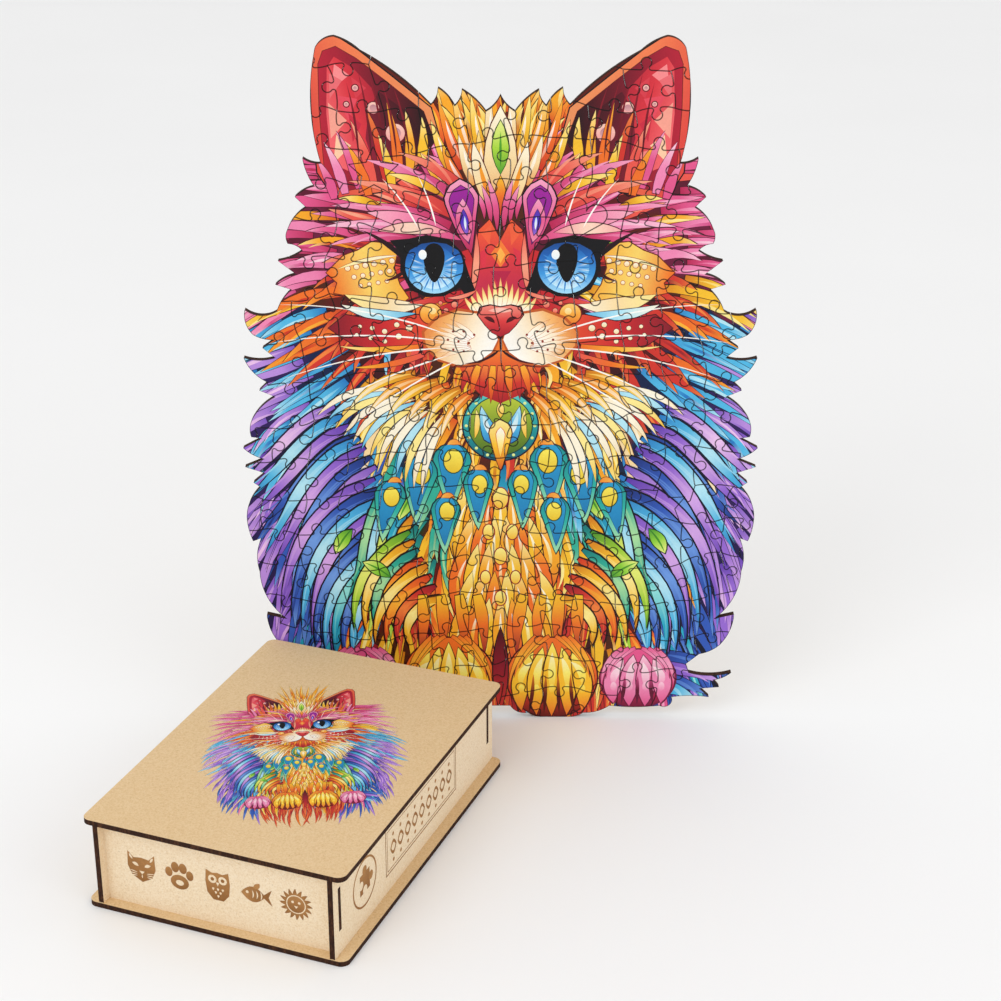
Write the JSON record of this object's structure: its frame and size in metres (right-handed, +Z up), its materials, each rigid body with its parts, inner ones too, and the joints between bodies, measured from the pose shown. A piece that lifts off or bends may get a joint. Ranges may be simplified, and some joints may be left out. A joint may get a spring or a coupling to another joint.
{
  "type": "boxed jigsaw puzzle",
  "caption": "Wooden jigsaw puzzle in the shape of a cat, standing assembled behind its slotted hardboard box with a lift-off lid.",
  "frame": {"origin": "middle of the object's outline on the surface it stands on", "axes": "+Z up, +X to the viewer's right, +Y away from the viewer; the printed face looks along -Y"},
  "size_m": [0.3682, 0.2582, 0.42],
  "materials": {
    "box_board": "raw hardboard with laser-burnt edges",
    "puzzle_board": "printed face, laser-burnt edges, raw back"
  },
  "bodies": {
    "box": {"base_panel": "box_board", "front_wall": "box_board", "back_wall": "box_board", "left_wall": "box_board", "right_wall": "box_board"},
    "lid": {"lid_panel": "box_board", "lid_locating_board": "box_board"},
    "puzzle": {"chest": "puzzle_board", "belly_upper": "puzzle_board", "belly_middle": "puzzle_board", "belly_lower": "puzzle_board", "left_paw": "puzzle_board", "right_paw": "puzzle_board", "left_foreleg": "puzzle_board", "right_foreleg": "puzzle_board"},
    "crown": {"crown_tufts": "puzzle_board", "forehead": "puzzle_board", "nose_bridge": "puzzle_board"},
    "face": {"nose": "puzzle_board", "chin": "puzzle_board", "left_muzzle": "puzzle_board", "right_muzzle": "puzzle_board", "throat_medallion": "puzzle_board"},
    "left_ear": {"left_ear_tip": "puzzle_board", "left_ear_outer": "puzzle_board", "left_ear_inner": "puzzle_board"},
    "right_ear": {"right_ear_tip": "puzzle_board", "right_ear_outer": "puzzle_board", "right_ear_inner": "puzzle_board"},
    "left_brow": {"left_brow": "puzzle_board", "left_temple": "puzzle_board", "left_eye": "puzzle_board"},
    "right_brow": {"right_brow": "puzzle_board", "right_temple": "puzzle_board", "right_eye": "puzzle_board"},
    "left_cheek": {"left_cheek_upper": "puzzle_board", "left_cheek_lower": "puzzle_board", "left_cheek_locks": "puzzle_board"},
    "right_cheek": {"right_cheek_upper": "puzzle_board", "right_cheek_lower": "puzzle_board", "right_cheek_locks": "puzzle_board"},
    "left_mane": {"left_collar": "puzzle_board", "left_mane_upper": "puzzle_board", "left_mane_tips": "puzzle_board", "left_mane_lower": "puzzle_board"},
    "right_mane": {"right_collar": "puzzle_board", "right_mane_upper": "puzzle_board", "right_mane_tips": "puzzle_board", "right_mane_lower": "puzzle_board"},
    "left_flank": {"left_shoulder": "puzzle_board", "left_flank": "puzzle_board", "left_thigh": "puzzle_board"},
    "right_flank": {"right_shoulder": "puzzle_board", "right_flank": "puzzle_board", "right_thigh": "puzzle_board"},
    "left_haunch": {"left_haunch": "puzzle_board", "left_hind_paw": "puzzle_board"},
    "right_haunch": {"right_haunch": "puzzle_board", "right_hind_paw": "puzzle_board", "tail": "puzzle_board"}
  },
  "joints": [
    {"name": "lid_lift", "type": "slide", "parent": "box", "child": "lid", "axis": [0, 0, 1], "range_m": [0, 0.08]},
    {"name": "puzzle_lift", "type": "slide", "parent": "box", "child": "puzzle", "axis": [0, 0, 1], "range_m": [0, 0.1]},
    {"name": "crown_out", "type": "slide", "parent": "puzzle", "child": "crown", "axis": [0, -1, 0], "range_m": [0, 0.03]},
    {"name": "face_out", "type": "slide", "parent": "puzzle", "child": "face", "axis": [0, -1, 0], "range_m": [0, 0.03]},
    {"name": "left_ear_out", "type": "slide", "parent": "puzzle", "child": "left_ear", "axis": [0, -1, 0], "range_m": [0, 0.03]},
    {"name": "right_ear_out", "type": "slide", "parent": "puzzle", "child": "right_ear", "axis": [0, -1, 0], "range_m": [0, 0.03]},
    {"name": "left_brow_out", "type": "slide", "parent": "puzzle", "child": "left_brow", "axis": [0, -1, 0], "range_m": [0, 0.03]},
    {"name": "right_brow_out", "type": "slide", "parent": "puzzle", "child": "right_brow", "axis": [0, -1, 0], "range_m": [0, 0.03]},
    {"name": "left_cheek_out", "type": "slide", "parent": "puzzle", "child": "left_cheek", "axis": [0, -1, 0], "range_m": [0, 0.03]},
    {"name": "right_cheek_out", "type": "slide", "parent": "puzzle", "child": "right_cheek", "axis": [0, -1, 0], "range_m": [0, 0.03]},
    {"name": "left_mane_out", "type": "slide", "parent": "puzzle", "child": "left_mane", "axis": [0, -1, 0], "range_m": [0, 0.03]},
    {"name": "right_mane_out", "type": "slide", "parent": "puzzle", "child": "right_mane", "axis": [0, -1, 0], "range_m": [0, 0.03]},
    {"name": "left_flank_out", "type": "slide", "parent": "puzzle", "child": "left_flank", "axis": [0, 1, 0], "range_m": [0, 0.03]},
    {"name": "right_flank_out", "type": "slide", "parent": "puzzle", "child": "right_flank", "axis": [0, -1, 0], "range_m": [0, 0.03]},
    {"name": "left_haunch_out", "type": "slide", "parent": "puzzle", "child": "left_haunch", "axis": [0, 1, 0], "range_m": [0, 0.03]},
    {"name": "right_haunch_out", "type": "slide", "parent": "puzzle", "child": "right_haunch", "axis": [0, -1, 0], "range_m": [0, 0.03]}
  ]
}
